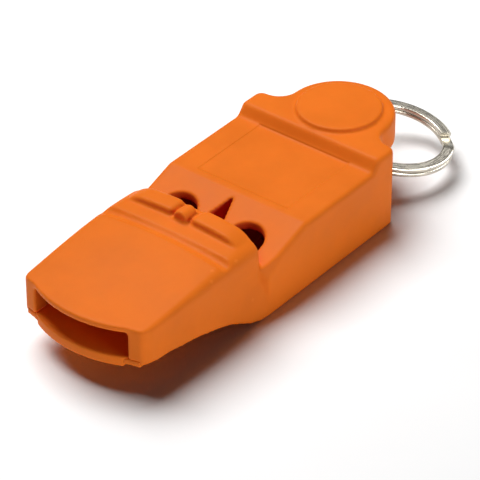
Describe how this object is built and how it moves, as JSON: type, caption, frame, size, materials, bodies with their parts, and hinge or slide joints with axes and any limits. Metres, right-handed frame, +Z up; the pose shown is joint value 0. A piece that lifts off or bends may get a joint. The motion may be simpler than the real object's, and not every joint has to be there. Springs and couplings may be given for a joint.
{
  "type": "safety whistle",
  "caption": "Flat pea-less safety whistle in moulded plastic, with two sound windows, a grip bar and a metal split ring on a slotted tab.",
  "frame": {"origin": "centre plane, on the flat underside, below the middle of the main body", "axes": "-Y out of the mouthpiece, +Y towards the ring tab, +Z up out of the top face, +X across the whistle"},
  "size_m": [0.0272, 0.0841, 0.0158],
  "materials": {
    "orange_plastic": "satin moulded ABS",
    "ring_steel": "nickel plated spring steel"
  },
  "bodies": {
    "whistle": {"body_shell": "orange_plastic", "base_cover": "orange_plastic", "windway_insert": "orange_plastic"},
    "ring": {"split_ring": "ring_steel"}
  },
  "joints": [
    {"name": "ring_swing", "type": "hinge", "parent": "whistle", "child": "ring", "pos_m": [0, 0.0242, 0.00525], "axis": [0, 0, 1], "range_deg": [-25, 105]}
  ]
}
